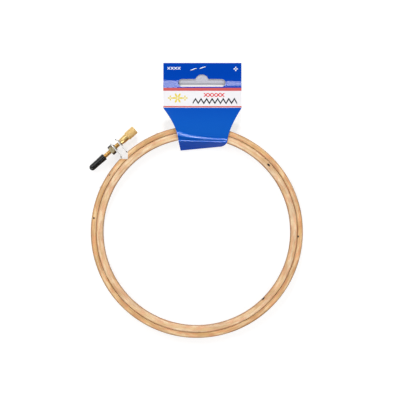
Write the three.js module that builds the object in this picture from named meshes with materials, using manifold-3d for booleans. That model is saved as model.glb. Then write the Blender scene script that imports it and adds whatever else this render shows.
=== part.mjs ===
// Wooden embroidery hoop of the five inch size, lying flat with its axis upright.
// A split outer ring is drawn together by a brass thumb screw that passes through two plated
// ears. A closed inner ring sits inside it, and a folded hang card is looped round both rings
// and stapled shut at its top.
// Millimetres. +Z is up, and +Y points from the middle of the hoop to the top of the card.
// The pieces are placed from the middle of the rings on the table, and the whole hoop is then
// moved so that the origin lies under the middle of its bounding box.

import * as THREE from 'three';
import { mergeVertices } from 'three/addons/utils/BufferGeometryUtils.js';
import Module from 'manifold-3d';

// Rings: the nominal size is the rim of the inner ring, where the cloth is clamped.
const nominalRadius = 63.5;
const innerRingWidth = 4.6;
const outerRingWidth = 3.15;
const ringFitGap = 0.25;
const ringHeight = 8;
const ringEdgeRound = 1.2;
const meetingEdgeRound = 0.6;

// Split in the outer ring: a V that opens outwards, seen from above at this angle from +X.
const splitAngle = THREE.MathUtils.degToRad(133.5);
const splitWidthInside = 0.5;
const splitFaceAngle = THREE.MathUtils.degToRad(45);

// Brackets: a plated strip in a kerf of each ring end, bent up into an ear for the screw.
// The screw and both ears lean a little, so that the screw's head is nearer to the ring.
const plateThickness = 0.7;
const screwStandoff = 7.35;
const screwLean = THREE.MathUtils.degToRad(1.8);
const earWidth = 6.4;
const earTipBeyondScrew = 3.6;
const headEarOffset = 2.85;
const nutEarOffset = 1.45;
const nutEarJog = 1.45;
const nutEarJogHeight = 2.3;
const earBendRadius = 1;
const footWidth = 5;
const footInset = 1.55;
const footReach = THREE.MathUtils.degToRad(24.5);

// Brads that hold the strips in their kerfs.
const pinAngle = THREE.MathUtils.degToRad(21.5);
const pinShankRadius = 0.6;
const pinHeadRadius = 1.15;
const pinHeadHeight = 0.55;
const pinCrownRadius = 0.5;
const pinLength = 2.4;

// Thumb screw, from its shoulder outwards to the head and inwards to the end of the shank.
const shankRadius = 1.45;
const shankLength = 24.3;
const shankPointChamfer = 0.5;
const collarLength = 5.4;
const collarSeatRadius = 1.8;
const collarRadius = 2.3;
const headLength = 6.85;
const headRadius = 2.75;
const headChamfer = 0.4;

const washerThickness = 0.5;
const washerRadius = 2.4;

// Hex nut, clinched through its ear so that it can't turn.
const nutAcrossFlats = 5.5;
const nutThickness = 2.7;
const nutNeckRadius = 2;
const clinchRadius = 2.35;
const clinchThickness = 0.6;

// Soft cap on the end of the shank.
const bareThread = 4.85;
const capRadius = 2.3;
const capTipRadius = 2.05;
const capEndWall = 1.35;
const capMouthRound = 0.35;

// Hang card: one strip folded at its lower end, inside the hoop.
const cardThickness = 0.4;
const cardWidth = 49.4;
const cardCentreX = 3.5;
const cardReach = 39.85;
const cardShoulder = 11.1;
// Its two edges differ: half its width at the neck inside the rings, and how it widens above.
const neckHalfLeft = 15.2;
const neckHalfRight = 15.8;
const flareLeft = 1.65;
const flareRight = 1.45;
// The left edge runs straight on to the fold, and the right one ends in a round corner.
const foldHalfLeft = 13.8;
const foldCornerAcross = 5.2;
const foldCornerDown = 4.1;
const cardFoldDrop = 6.6;
const cardFoldSlope = 0.096;
const cardFoldRadius = 1;
const leafGap = 0.15;
const cardLiftBelowStaple = 10;
// A soft buckle runs across the front leaf over the rings, higher and further out on the left.
const ridgeRiseLeft = 2.2;
const ridgeRiseRight = 0.9;
const ridgeInset = 4.2;
const ridgeSweep = 5.5;
const ridgeCurve = 2.5;
// The front leaf falls slowly from the buckle, and steeply just below the staple.
const leafDropCurve = 1.4;

// Hang slot through both leaves, measured down from the card's top edge.
const slotWidth = 29.8;
const slotHeight = 4.9;
const slotDrop = 12.7;
const slotOffsetX = -0.3;
const slotHumpWidth = 8.2;
const slotHumpHeight = 3;

// Staple near the card's top edge: its crown is behind, and its legs are bent over in front.
const wireRadius = 0.25;
const stapleWidth = 9.7;
const stapleDrop = 3.5;
const stapleOffsetX = -2.75;
const stapleTilt = THREE.MathUtils.degToRad(13);
const stapleLeg = 3.8;
const stapleBend = 0.5;

// Clearances.
const seatGap = 0.15;
const kerfClearance = 0.3;
const boreClearance = 0.15;
const cardClearance = 0.25;
const legClearance = 0.3;

// How finely round shapes are divided.
const ringFacets = 96;
const screwFacets = 32;
const wireFacets = 6;
const smallFacets = 16;
const wireSteps = 44;
const wireBendSteps = 3;
const cardColumns = 12;
const foldSteps = 8;
const rimSteps = 5;
const earBendSteps = 5;
const footSteps = 8;
const capTipSteps = 4;
const leafSteps = 6;
const flareSteps = 5;
const slotCurveSteps = 6;
const pointMergeDistance = 1e-4;

// Sizes that follow from the driving ones.
const innerRingInnerRadius = nominalRadius - innerRingWidth;
const outerRingInnerRadius = nominalRadius + ringFitGap;
const outerRingRadius = outerRingInnerRadius + outerRingWidth;
const ringBottom = cardThickness + cardClearance;
const ringTop = ringBottom + ringHeight;
const ringMiddle = (ringBottom + ringTop) / 2;
const screwRadius = outerRingRadius + screwStandoff;
const footRadius = outerRingRadius - footInset;
const headEarFace = headEarOffset + plateThickness / 2;
const washerSeat = headEarFace + seatGap;
const shoulder = washerSeat + washerThickness + seatGap;
const nutEarInnerFace = -nutEarOffset + plateThickness / 2;
const nutEarOuterFace = -nutEarOffset - plateThickness / 2;
const nutSeat = nutEarOuterFace - seatGap;
const nutFace = nutSeat - nutThickness;
const shankEnd = shoulder - shankLength;
const capMouth = nutFace - bareThread;
const cardTop = outerRingRadius + cardReach;
const cardNeckY = innerRingInnerRadius - ringEdgeRound;
const cardFoldY = innerRingInnerRadius - cardFoldDrop;
const stapleY = cardTop - stapleDrop;
const leafStep = cardThickness + leafGap;
const backLeafTopZ = 2 * wireRadius + seatGap + cardThickness / 2;
const cutMargin = 2;

const wasm = await Module();
wasm.setup();

// Solids for joining and cutting

function toSolid(geometry) {
  const bare = new THREE.BufferGeometry();
  bare.setAttribute('position', geometry.getAttribute('position'));
  bare.setIndex(geometry.getIndex());
  const merged = mergeVertices(bare, pointMergeDistance);
  return new wasm.Manifold(new wasm.Mesh({
    numProp: 3,
    vertProperties: merged.getAttribute('position').array,
    triVerts: new Uint32Array(merged.getIndex().array),
  }));
}

function toGeometry(solid) {
  const mesh = solid.getMesh();
  const geometry = new THREE.BufferGeometry();
  geometry.setAttribute('position', new THREE.BufferAttribute(mesh.vertProperties, 3));
  geometry.setIndex(new THREE.BufferAttribute(mesh.triVerts, 1));
  geometry.computeVertexNormals();
  return geometry;
}

function cut(geometry, ...tools) {
  return toGeometry(tools.reduce((rest, tool) => rest.subtract(toSolid(tool)), toSolid(geometry)));
}

function join(...geometries) {
  return toGeometry(geometries.map(toSolid).reduce((sum, next) => sum.add(next)));
}

function overlapOf(first, second) {
  return toGeometry(toSolid(first).intersect(toSolid(second)));
}

// Outlines and basic shapes

function roundedRectangle(left, right, bottom, top, leftRound, rightRound) {
  const outline = new THREE.Path();
  const quarter = Math.PI / 2;
  outline.absarc(left + leftRound, bottom + leftRound, leftRound, 2 * quarter, 3 * quarter);
  outline.absarc(right - rightRound, bottom + rightRound, rightRound, 3 * quarter, 4 * quarter);
  outline.absarc(right - rightRound, top - rightRound, rightRound, 0, quarter);
  outline.absarc(left + leftRound, top - leftRound, leftRound, quarter, 2 * quarter);
  outline.closePath();
  return outline;
}

function ring(innerRadius, outerRadius, innerRound, outerRound) {
  const section = roundedRectangle(
    innerRadius, outerRadius, ringBottom, ringTop, innerRound, outerRound);
  const geometry = new THREE.LatheGeometry(section.getPoints(1), ringFacets);
  geometry.rotateX(Math.PI / 2);
  return geometry;
}

// A shape made round +X is brought to the screw's axis, which leans and stands off the ring.
function placeOnScrew(geometry) {
  geometry.rotateZ(-screwLean);
  return geometry.translate(0, screwRadius, ringMiddle);
}

// A solid turned about the screw's axis: each profile point is (place along it, radius).
function turned(profile, facets) {
  const points = profile.map(([along, radius]) => new THREE.Vector2(radius, along));
  const geometry = new THREE.LatheGeometry(points, facets);
  geometry.rotateZ(-Math.PI / 2);
  return placeOnScrew(geometry);
}

function rod(radius, from, to, facets) {
  return turned([[from, 0], [from, radius], [to, radius], [to, 0]], facets);
}

// A flat strip of the given thickness along a line of points, standing between two heights.
function strip(line, thickness, bottom, top) {
  const side = (sign) => line.map((point, i) => {
    const before = line[Math.max(i - 1, 0)];
    const after = line[Math.min(i + 1, line.length - 1)];
    const heading = after.clone().sub(before).normalize();
    const offset = new THREE.Vector2(-heading.y, heading.x).multiplyScalar(sign * thickness / 2);
    return point.clone().add(offset);
  });
  const shape = new THREE.Shape([...side(-1), ...side(1).reverse()]);
  const geometry = new THREE.ExtrudeGeometry(shape, { depth: top - bottom, bevelEnabled: false });
  geometry.translate(0, 0, bottom);
  return geometry;
}

// A shape drawn in (Y, Z) and made a prism from one X to another.
function prismAlongX(shape, from, to) {
  const geometry = new THREE.ExtrudeGeometry(shape, { depth: to - from, bevelEnabled: false });
  geometry.rotateX(Math.PI / 2);
  geometry.rotateZ(Math.PI / 2);
  geometry.translate(from, 0, 0);
  return geometry;
}

// Outer ring

// The line of a bracket strip seen from above, in the split's own frame: +X runs along the
// screw to its head, +Y points outwards. The strip drops from the ear, bends and follows the
// ring. The side is +1 at the screw's head and -1 at its nut.
function bracketLine(side, footEnd) {
  const earX = side > 0 ? headEarOffset : nutEarOffset;
  const jog = side > 0 ? 0 : nutEarJog;
  const bendTop = footRadius + earBendRadius;
  const tip = screwRadius + earTipBeyondScrew;
  const straightEnd = side > 0 ? bendTop : outerRingRadius + nutEarJogHeight - jog;
  const earAt = (y) => earX + side * (y - screwRadius) * Math.tan(screwLean);
  const bendX = earAt(straightEnd) + jog;
  const line = [new THREE.Vector2(earAt(tip), tip)];
  if (jog > 0) {
    line.push(new THREE.Vector2(earAt(straightEnd), straightEnd));
  }
  for (let i = 0; i <= earBendSteps; i += 1) {
    const turn = (i / earBendSteps) * Math.PI / 2;
    const x = bendX + earBendRadius * (1 - Math.cos(turn));
    line.push(new THREE.Vector2(x, bendTop - earBendRadius * Math.sin(turn)));
  }
  const footStart = (bendX + earBendRadius) / footRadius;
  for (let i = 1; i <= footSteps; i += 1) {
    const angle = footStart + (footEnd - footStart) * (i / footSteps);
    const x = footRadius * Math.sin(angle);
    line.push(new THREE.Vector2(x, footRadius * Math.cos(angle)));
  }
  const mirrored = line.map((point) => new THREE.Vector2(side * point.x, point.y));
  return side > 0 ? mirrored : mirrored.reverse();
}

// Everything at the split is shaped with the split on +Y, then turned to its place.
function turnToSplit(geometry) {
  return geometry.rotateZ(splitAngle - Math.PI / 2);
}

function splitTool() {
  const depth = outerRingWidth + cutMargin;
  const apex = outerRingInnerRadius - splitWidthInside / 2 / Math.tan(splitFaceAngle);
  const reach = outerRingInnerRadius + depth;
  const halfWidth = (reach - apex) * Math.tan(splitFaceAngle);
  const wedge = new THREE.Shape([
    new THREE.Vector2(0, apex),
    new THREE.Vector2(halfWidth, reach),
    new THREE.Vector2(-halfWidth, reach),
  ]);
  const tool = new THREE.ExtrudeGeometry(wedge, {
    depth: ringHeight + 2 * cutMargin,
    bevelEnabled: false,
  });
  return tool.translate(0, 0, ringBottom - cutMargin);
}

function kerfTool(side) {
  const line = bracketLine(side, footReach + kerfClearance / footRadius);
  const half = footWidth / 2 + kerfClearance;
  return strip(line, plateThickness + 2 * kerfClearance, ringMiddle - half, ringMiddle + half);
}

function radialRod(radius, from, to, angle, facets) {
  const geometry = new THREE.CylinderGeometry(radius, radius, to - from, facets);
  geometry.translate(0, (from + to) / 2, ringMiddle);
  return geometry.rotateZ(-angle);
}

function outerRing() {
  const blank = ring(outerRingInnerRadius, outerRingRadius, meetingEdgeRound, ringEdgeRound);
  const holeBottom = outerRingRadius - pinLength - kerfClearance;
  const tools = [splitTool()];
  for (const side of [1, -1]) {
    tools.push(kerfTool(side));
    tools.push(radialRod(pinShankRadius + kerfClearance, holeBottom,
      outerRingRadius + cutMargin, side * pinAngle, smallFacets));
  }
  return cut(blank, ...tools.map(turnToSplit));
}

// Inner ring

function innerRing() {
  return ring(innerRingInnerRadius, nominalRadius, ringEdgeRound, meetingEdgeRound);
}

// Brackets

// The strip seen along the screw: a narrow foot, then a wider ear with a round tip.
function earOutline() {
  const footHalf = footWidth / 2;
  const earHalf = earWidth / 2;
  const neck = outerRingRadius + kerfClearance;
  const tip = screwRadius + earTipBeyondScrew;
  const outline = new THREE.Shape();
  outline.moveTo(0, ringMiddle - footHalf);
  outline.lineTo(neck, ringMiddle - footHalf);
  outline.lineTo(neck + earHalf - footHalf, ringMiddle - earHalf);
  outline.absarc(tip - earHalf, ringMiddle, earHalf, -Math.PI / 2, Math.PI / 2);
  outline.lineTo(neck + earHalf - footHalf, ringMiddle + earHalf);
  outline.lineTo(neck, ringMiddle + footHalf);
  outline.lineTo(0, ringMiddle + footHalf);
  return outline;
}

function bracket(side, holeRadius) {
  const half = earWidth / 2;
  const blank = strip(
    bracketLine(side, footReach), plateThickness, ringMiddle - half, ringMiddle + half);
  const mask = prismAlongX(earOutline(), -outerRingRadius, outerRingRadius);
  const screwHole = rod(holeRadius, -outerRingRadius, outerRingRadius, screwFacets);
  const pinHole = radialRod(pinShankRadius + kerfClearance,
    footRadius - cutMargin, footRadius + cutMargin, side * pinAngle, smallFacets);
  return turnToSplit(cut(overlapOf(blank, mask), screwHole, pinHole));
}

function pin(side) {
  const seat = outerRingRadius + seatGap;
  const head = [
    [0, seat],
    [pinHeadRadius, seat],
    [(pinHeadRadius + pinCrownRadius) / 2, seat + pinHeadHeight * Math.SQRT1_2],
    [pinCrownRadius, seat + pinHeadHeight],
    [0, seat + pinHeadHeight],
  ];
  const start = outerRingRadius - pinLength;
  const profile = [[0, start], [pinShankRadius, start], [pinShankRadius, seat], ...head.slice(1)];
  const points = profile.map(([radius, along]) => new THREE.Vector2(radius, along));
  const geometry = new THREE.LatheGeometry(points, smallFacets);
  geometry.translate(0, 0, ringMiddle);
  return turnToSplit(geometry.rotateZ(-side * pinAngle));
}

// Screw, washer, nut and cap

function thumbScrew() {
  const collarEnd = shoulder + collarLength;
  const headEnd = collarEnd + headLength;
  const geometry = turned([
    [shankEnd, 0],
    [shankEnd, shankRadius - shankPointChamfer],
    [shankEnd + shankPointChamfer, shankRadius],
    [shoulder, shankRadius],
    [shoulder, collarSeatRadius],
    [collarEnd, collarRadius],
    [collarEnd, headRadius - headChamfer],
    [collarEnd + headChamfer, headRadius],
    [headEnd - headChamfer, headRadius],
    [headEnd, headRadius - headChamfer],
    [headEnd, 0],
  ], screwFacets);
  return turnToSplit(geometry);
}

function headWasher() {
  const bore = shankRadius + boreClearance;
  const far = washerSeat + washerThickness;
  const geometry = turned([
    [washerSeat, bore],
    [washerSeat, washerRadius],
    [far, washerRadius],
    [far, bore],
    [washerSeat, bore],
  ], screwFacets);
  return turnToSplit(geometry);
}

function clinchNut() {
  const hexagon = new THREE.CylinderGeometry(
    nutAcrossFlats / Math.sqrt(3), nutAcrossFlats / Math.sqrt(3), nutThickness, 6);
  hexagon.rotateZ(-Math.PI / 2);
  placeOnScrew(hexagon.translate(nutSeat - nutThickness / 2, 0, 0));
  const clinchSeat = nutEarInnerFace + seatGap;
  const neck = turned([
    [nutSeat - nutThickness / 2, 0],
    [nutSeat - nutThickness / 2, nutNeckRadius],
    [clinchSeat, nutNeckRadius],
    [clinchSeat, clinchRadius],
    [clinchSeat + clinchThickness / 2, clinchRadius],
    [clinchSeat + clinchThickness, nutNeckRadius],
    [clinchSeat + clinchThickness, 0],
  ], screwFacets);
  const bore = rod(shankRadius + boreClearance, nutFace - cutMargin, cutMargin, screwFacets);
  return turnToSplit(cut(join(hexagon, neck), bore));
}

function screwCap() {
  const bore = shankRadius + boreClearance;
  const boreEnd = shankEnd - boreClearance;
  const tip = boreEnd - capEndWall;
  const profile = [];
  for (let i = 0; i <= capTipSteps; i += 1) {
    const turn = (i / capTipSteps) * Math.PI / 2;
    profile.push([tip + capTipRadius * (1 - Math.cos(turn)), capTipRadius * Math.sin(turn)]);
  }
  profile[0][1] = 0;
  profile.push([capMouth - capMouthRound, capRadius]);
  profile.push([capMouth, capRadius - capMouthRound]);
  profile.push([capMouth, bore]);
  profile.push([boreEnd, bore]);
  profile.push([boreEnd, 0]);
  return turnToSplit(turned(profile, screwFacets));
}

// Hang card

// Half of the strip's width, to the left (side -1) or right (side 1), at a distance along +Y.
function cardHalfWidth(side, y) {
  const shoulderY = outerRingRadius + cardShoulder;
  const neck = side < 0 ? neckHalfLeft : neckHalfRight;
  const rise = (y - cardNeckY) / (shoulderY - cardNeckY);
  if (rise > 0) {
    const flare = side < 0 ? flareLeft : flareRight;
    return neck + (cardWidth / 2 - neck) * Math.min(rise, 1) ** flare;
  }
  const fold = side < 0 ? foldHalfLeft : neck;
  return THREE.MathUtils.mapLinear(y, cardNeckY, foldLineAt(side * fold), neck, fold);
}

// Where the fold's outside runs, at a distance to the right of the card's middle.
function foldLineAt(x) {
  return cardFoldY + cardFoldSlope * (x + cardCentreX);
}

// The height of the middle of each leaf beyond the rings, at a distance along +Y.
function leafHeight(y, low, high, from, to) {
  return low + (high - low) * THREE.MathUtils.smoothstep(y, from, to);
}

// The front leaf's drop from its buckle: slow at first and steepest below the staple.
function frontLeafHeight(y, high, low, from, to) {
  const along = THREE.MathUtils.clamp((y - from) / (to - from), 0, 1);
  return leafHeight(along ** leafDropCurve, high, low, 0, 1);
}

// Where the strip needs a row of points beyond the rings, from its top edge down to the rings.
function leafStations(leafEnd) {
  const shoulderY = outerRingRadius + cardShoulder;
  const stations = [cardTop];
  for (let i = 0; i <= leafSteps; i += 1) {
    stations.push(THREE.MathUtils.lerp(leafEnd, shoulderY, i / leafSteps));
  }
  for (let i = 1; i <= flareSteps; i += 1) {
    stations.push(THREE.MathUtils.lerp(shoulderY, outerRingRadius, i / flareSteps));
  }
  return stations;
}

// The middle of the card seen from the side, as (Y, Z) points from the top edge of the back
// leaf, down to the fold, up over the rings and on to the top edge of the front leaf.
function cardLine(x) {
  const rim = Math.sqrt(innerRingInnerRadius ** 2 - x ** 2);
  const foldLimit = rim - cardClearance - cardThickness - cardFoldRadius;
  const foldY = Math.min(foldLineAt(x - cardCentreX), foldLimit);
  const fold = new THREE.Vector2(foldY + cardThickness / 2 + cardFoldRadius,
    cardThickness / 2 + cardFoldRadius);
  const overRing = cardClearance + cardThickness / 2;
  const rimRadius = ringEdgeRound + overRing;
  const edge = new THREE.Vector2(rim + ringEdgeRound, ringTop - ringEdgeRound);
  const between = edge.clone().sub(fold);
  const rise = between.angle() + Math.asin((rimRadius - cardFoldRadius) / between.length());
  const leafEnd = stapleY - stapleTilt * stapleWidth - cutMargin;
  const frontZ = ringTop + overRing;
  const acrossNeck = (x - cardCentreX + neckHalfLeft) / (neckHalfLeft + neckHalfRight);
  const ridgeY = nominalRadius - ridgeInset + ridgeSweep * (1 - acrossNeck) ** ridgeCurve;
  const ridgeZ = frontZ + THREE.MathUtils.lerp(ridgeRiseLeft, ridgeRiseRight, acrossNeck);
  const stations = leafStations(leafEnd);
  const back = stations.map((y) => new THREE.Vector2(y, leafHeight(
    y, cardThickness / 2, backLeafTopZ, leafEnd - cardLiftBelowStaple, leafEnd)));
  const front = stations.map((y) => new THREE.Vector2(y, frontLeafHeight(
    y, ridgeZ, backLeafTopZ + leafStep, ridgeY, leafEnd)));
  const foldArc = new THREE.EllipseCurve(fold.x, fold.y, cardFoldRadius, cardFoldRadius,
    -Math.PI / 2, rise - 3 * Math.PI / 2, true);
  const rimArc = new THREE.EllipseCurve(edge.x, edge.y, rimRadius, rimRadius,
    rise + Math.PI / 2, Math.PI / 2, true);
  return [
    ...back,
    new THREE.Vector2(nominalRadius, cardThickness / 2),
    new THREE.Vector2(cardNeckY, cardThickness / 2),
    ...foldArc.getPoints(foldSteps),
    ...rimArc.getPoints(rimSteps),
    new THREE.Vector2(ridgeY, ridgeZ),
    ...front.reverse(),
  ];
}

// The flat strip is bent by moving each of its points onto the line at its own place across.
function cardStrip() {
  const rows = cardLine(0).length;
  const geometry = new THREE.BoxGeometry(2, rows - 1, 2, cardColumns, rows - 1, 1);
  const position = geometry.getAttribute('position');
  for (let i = 0; i < position.count; i += 1) {
    const across = position.getX(i);
    const side = Math.sign(across);
    const row = Math.round(position.getY(i) + (rows - 1) / 2);
    const line = cardLine(cardCentreX + across * cardHalfWidth(side, cardNeckY));
    const point = line[row];
    const before = line[Math.max(row - 1, 0)];
    const after = line[Math.min(row + 1, rows - 1)];
    const heading = after.clone().sub(before).normalize();
    const lift = position.getZ(i) * cardThickness / 2;
    position.setXYZ(i, cardCentreX + across * cardHalfWidth(side, point.x),
      point.x - heading.y * lift, point.y + heading.x * lift);
  }
  return geometry;
}

function slotTool() {
  const bottom = cardTop - slotDrop - slotHeight / 2;
  const end = slotHeight / 2;
  const top = bottom + slotHeight;
  const half = slotWidth / 2;
  const humpHalf = slotHumpWidth / 2;
  const humpRadius = (humpHalf ** 2 + slotHumpHeight ** 2) / (2 * slotHumpHeight);
  const humpMiddle = top + slotHumpHeight - humpRadius;
  const humpStart = Math.atan2(top - humpMiddle, humpHalf);
  const outline = new THREE.Shape();
  outline.absarc(half - end, bottom + end, end, -Math.PI / 2, Math.PI / 2);
  outline.absarc(0, humpMiddle, humpRadius, humpStart, Math.PI - humpStart);
  outline.absarc(end - half, bottom + end, end, Math.PI / 2, 3 * Math.PI / 2);
  const tool = new THREE.ExtrudeGeometry(outline, {
    depth: ringTop + 2 * cutMargin,
    bevelEnabled: false,
    curveSegments: slotCurveSteps,
  });
  return tool.translate(cardCentreX + slotOffsetX, 0, -cutMargin);
}

// What the round corner takes off at the right end of the fold.
function foldCornerTool() {
  const right = cardCentreX + neckHalfRight;
  const middle = right - foldCornerAcross;
  const bottom = cardNeckY - foldCornerDown;
  const outline = new THREE.Shape();
  outline.absellipse(middle, cardNeckY, foldCornerAcross, foldCornerDown, 0, -Math.PI / 2, true);
  outline.lineTo(middle, bottom - cutMargin);
  outline.lineTo(right + cutMargin, bottom - cutMargin);
  outline.lineTo(right + cutMargin, cardNeckY);
  const tool = new THREE.ExtrudeGeometry(outline, {
    depth: ringTop + 2 * cutMargin,
    bevelEnabled: false,
    curveSegments: slotCurveSteps,
  });
  return tool.translate(0, 0, -cutMargin);
}

function placeStaple(geometry) {
  geometry.rotateZ(stapleTilt);
  return geometry.translate(cardCentreX + stapleOffsetX, stapleY, 0);
}

function hangCard() {
  const legHole = (side) => {
    const hole = new THREE.CylinderGeometry(wireRadius + legClearance,
      wireRadius + legClearance, ringTop, wireFacets);
    hole.rotateX(Math.PI / 2);
    return placeStaple(hole.translate(side * (stapleWidth / 2 - wireRadius), 0, 0));
  };
  return cut(cardStrip(), slotTool(), foldCornerTool(), legHole(-1), legHole(1));
}

// One round wire, bent in a plane: its legs come forward and fold in over the front leaf.
function staple() {
  const half = stapleWidth / 2 - wireRadius;
  const back = wireRadius;
  const front = backLeafTopZ + leafStep + cardThickness / 2 + seatGap + wireRadius;
  const bend = Math.min(stapleBend, (front - back) / 2);
  const corner = (x, z, from, to) => {
    const arc = new THREE.EllipseCurve(x, z, bend, bend, from, to, from > to);
    return arc.getPoints(wireBendSteps);
  };
  const quarter = Math.PI / 2;
  const flat = [
    new THREE.Vector2(half - stapleLeg, front),
    ...corner(half - bend, front - bend, quarter, 0),
    ...corner(half - bend, back + bend, 0, -quarter),
    ...corner(bend - half, back + bend, -quarter, -2 * quarter),
    ...corner(bend - half, front - bend, 2 * quarter, quarter),
    new THREE.Vector2(stapleLeg - half, front),
  ];
  const path = new THREE.CurvePath();
  for (let i = 1; i < flat.length; i += 1) {
    const from = new THREE.Vector3(flat[i - 1].x, 0, flat[i - 1].y);
    const to = new THREE.Vector3(flat[i].x, 0, flat[i].y);
    if (from.distanceTo(to) > seatGap / 2) {
      path.add(new THREE.LineCurve3(from, to));
    }
  }
  const section = new THREE.Shape();
  section.absarc(0, 0, wireRadius, 0, 2 * Math.PI);
  const geometry = new THREE.ExtrudeGeometry(section, {
    steps: wireSteps,
    curveSegments: wireFacets,
    extrudePath: path,
  });
  return placeStaple(geometry);
}

// Materials

function beech(color) {
  return new THREE.MeshStandardMaterial({ color, roughness: 0.55, metalness: 0 });
}

function plated() {
  return new THREE.MeshStandardMaterial({ color: 0xe4e2da, roughness: 0.28, metalness: 1 });
}

function brass() {
  return new THREE.MeshStandardMaterial({ color: 0xdcb368, roughness: 0.3, metalness: 1 });
}

function darkPlated() {
  return new THREE.MeshStandardMaterial({ color: 0xa89c78, roughness: 0.35, metalness: 1 });
}

function blackRubber() {
  return new THREE.MeshStandardMaterial({ color: 0x161616, roughness: 0.5, metalness: 0 });
}

function printedCard() {
  return new THREE.MeshStandardMaterial({ color: 0x1450c0, roughness: 0.25, metalness: 0 });
}

function wire() {
  return new THREE.MeshStandardMaterial({ color: 0xd8dadd, roughness: 0.3, metalness: 1 });
}

// Assembly

function piece(name, geometry, material) {
  const mesh = new THREE.Mesh(geometry, material);
  mesh.name = name;
  return mesh;
}

const pieces = new THREE.Group();
pieces.add(
  piece('outer_ring', outerRing(), beech(0xe2b47c)),
  piece('inner_ring', innerRing(), beech(0xe9c79a)),
  piece('head_side_bracket', bracket(1, shankRadius + boreClearance), plated()),
  piece('nut_side_bracket', bracket(-1, nutNeckRadius + boreClearance), plated()),
  piece('head_side_pin', pin(1), plated()),
  piece('nut_side_pin', pin(-1), plated()),
  piece('thumb_screw', thumbScrew(), brass()),
  piece('head_washer', headWasher(), plated()),
  piece('clinch_nut', clinchNut(), darkPlated()),
  piece('screw_cap', screwCap(), blackRubber()),
  piece('hang_card', hangCard(), printedCard()),
  piece('staple', staple(), wire()),
);

const reach = new THREE.Box3().setFromObject(pieces, true);
const middle = reach.getCenter(new THREE.Vector3());
pieces.position.set(-middle.x, -middle.y, -reach.min.z);

const hoop = new THREE.Group();
hoop.add(pieces);

export default hoop;
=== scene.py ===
import math

import bmesh
import bpy
from mathutils import Matrix, Vector


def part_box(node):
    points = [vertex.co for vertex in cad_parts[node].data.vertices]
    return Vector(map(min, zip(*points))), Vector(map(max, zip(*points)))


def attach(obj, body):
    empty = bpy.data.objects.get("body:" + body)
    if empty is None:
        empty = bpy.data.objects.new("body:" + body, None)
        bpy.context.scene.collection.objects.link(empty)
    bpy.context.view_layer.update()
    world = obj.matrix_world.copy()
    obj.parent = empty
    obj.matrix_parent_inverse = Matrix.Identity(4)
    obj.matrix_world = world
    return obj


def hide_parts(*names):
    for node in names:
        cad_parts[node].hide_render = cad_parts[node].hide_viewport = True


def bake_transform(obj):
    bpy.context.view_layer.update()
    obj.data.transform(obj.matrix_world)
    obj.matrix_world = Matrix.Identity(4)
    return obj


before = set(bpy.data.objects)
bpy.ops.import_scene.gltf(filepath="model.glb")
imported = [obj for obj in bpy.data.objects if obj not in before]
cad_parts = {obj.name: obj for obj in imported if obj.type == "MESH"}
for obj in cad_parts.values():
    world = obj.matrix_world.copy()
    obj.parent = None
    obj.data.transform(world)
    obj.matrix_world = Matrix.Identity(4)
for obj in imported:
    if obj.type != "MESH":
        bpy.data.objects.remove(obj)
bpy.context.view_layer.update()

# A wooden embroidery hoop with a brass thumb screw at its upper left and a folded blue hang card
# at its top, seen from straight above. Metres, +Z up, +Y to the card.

MM = 0.001

# Camera, straight above the hoop and far enough off for the view to be nearly flat.

VIEW_WIDTH = 252.6 * MM
VIEW_CENTRE = Vector((2.0 * MM, 20.1 * MM, 0))
LENS = 400
SENSOR = 36

hoop_low, hoop_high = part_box("inner_ring")
hoop_middle = (hoop_low + hoop_high) / 2
camera_lens = bpy.data.cameras.new("camera")
camera_lens.lens = LENS
camera_lens.sensor_width = SENSOR
camera_lens.clip_end = 20
camera = bpy.data.objects.new("camera", camera_lens)
camera.location = hoop_middle + VIEW_CENTRE + Vector((0, 0, VIEW_WIDTH * LENS / SENSOR))
bpy.context.scene.collection.objects.link(camera)
bpy.context.scene.camera = camera
bpy.context.scene.view_settings.view_transform = "Standard"

# Studio: a pale table, big soft boxes round the hoop, and a light room with a dim ceiling, so
# that the glossy card's flat face stays deep blue. Two black flags darken one side of the metal.

FLOOR_SIZE = 4.0
FLOOR_DROP = 0.1 * MM
FLOOR_PALE = 0.86
FLOOR_PALE_SEEN = 0.42
FLOOR_LIFT = 0.71
ROOM_LIGHT = 0.33
WALL_TOP = 0.35
CEILING_FROM = 0.7
CEILING = 0.12
FLAG_DISTANCE = 1.1
FLAG_HEIGHT = 0.9
LAMP_DISTANCE = 1.3


def add_object(name, mesh):
    made = bpy.data.objects.new(name, mesh)
    bpy.context.scene.collection.objects.link(made)
    return made


def node(tree, kind, sockets=None, **settings):
    """A shader node with its settings and inputs; an input is a number, a colour or a socket."""
    made = tree.nodes.new("ShaderNode" + kind)
    for name, value in settings.items():
        setattr(made, name, value)
    for name, value in (sockets or {}).items():
        if isinstance(value, bpy.types.NodeSocket):
            tree.links.new(value, made.inputs[name])
        else:
            made.inputs[name].default_value = value
    return made


def calc(operation, *values, clamp=False):
    """A Math node's result, in the node tree that its inputs are from."""
    tree = next(value.id_data for value in values if isinstance(value, bpy.types.NodeSocket))
    sockets = dict(enumerate(values))
    return node(tree, "Math", sockets, operation=operation, use_clamp=clamp).outputs[0]


def times(product, *values):
    for value in values:
        product = calc("MULTIPLY", product, value)
    return product


def minus(whole, part):
    return calc("SUBTRACT", whole, part)


def part_of(place, axis):
    return node(place.id_data, "SeparateXYZ", {0: place}).outputs[axis]


def seen_directly(tree):
    """1 for what the camera, metal or glass shows of the room, and 0 for the light it gives."""
    rays = node(tree, "LightPath").outputs
    shown = calc("MAXIMUM", rays["Is Camera Ray"], rays["Is Glossy Ray"])
    return calc("MAXIMUM", shown, rays["Is Transmission Ray"])


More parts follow.
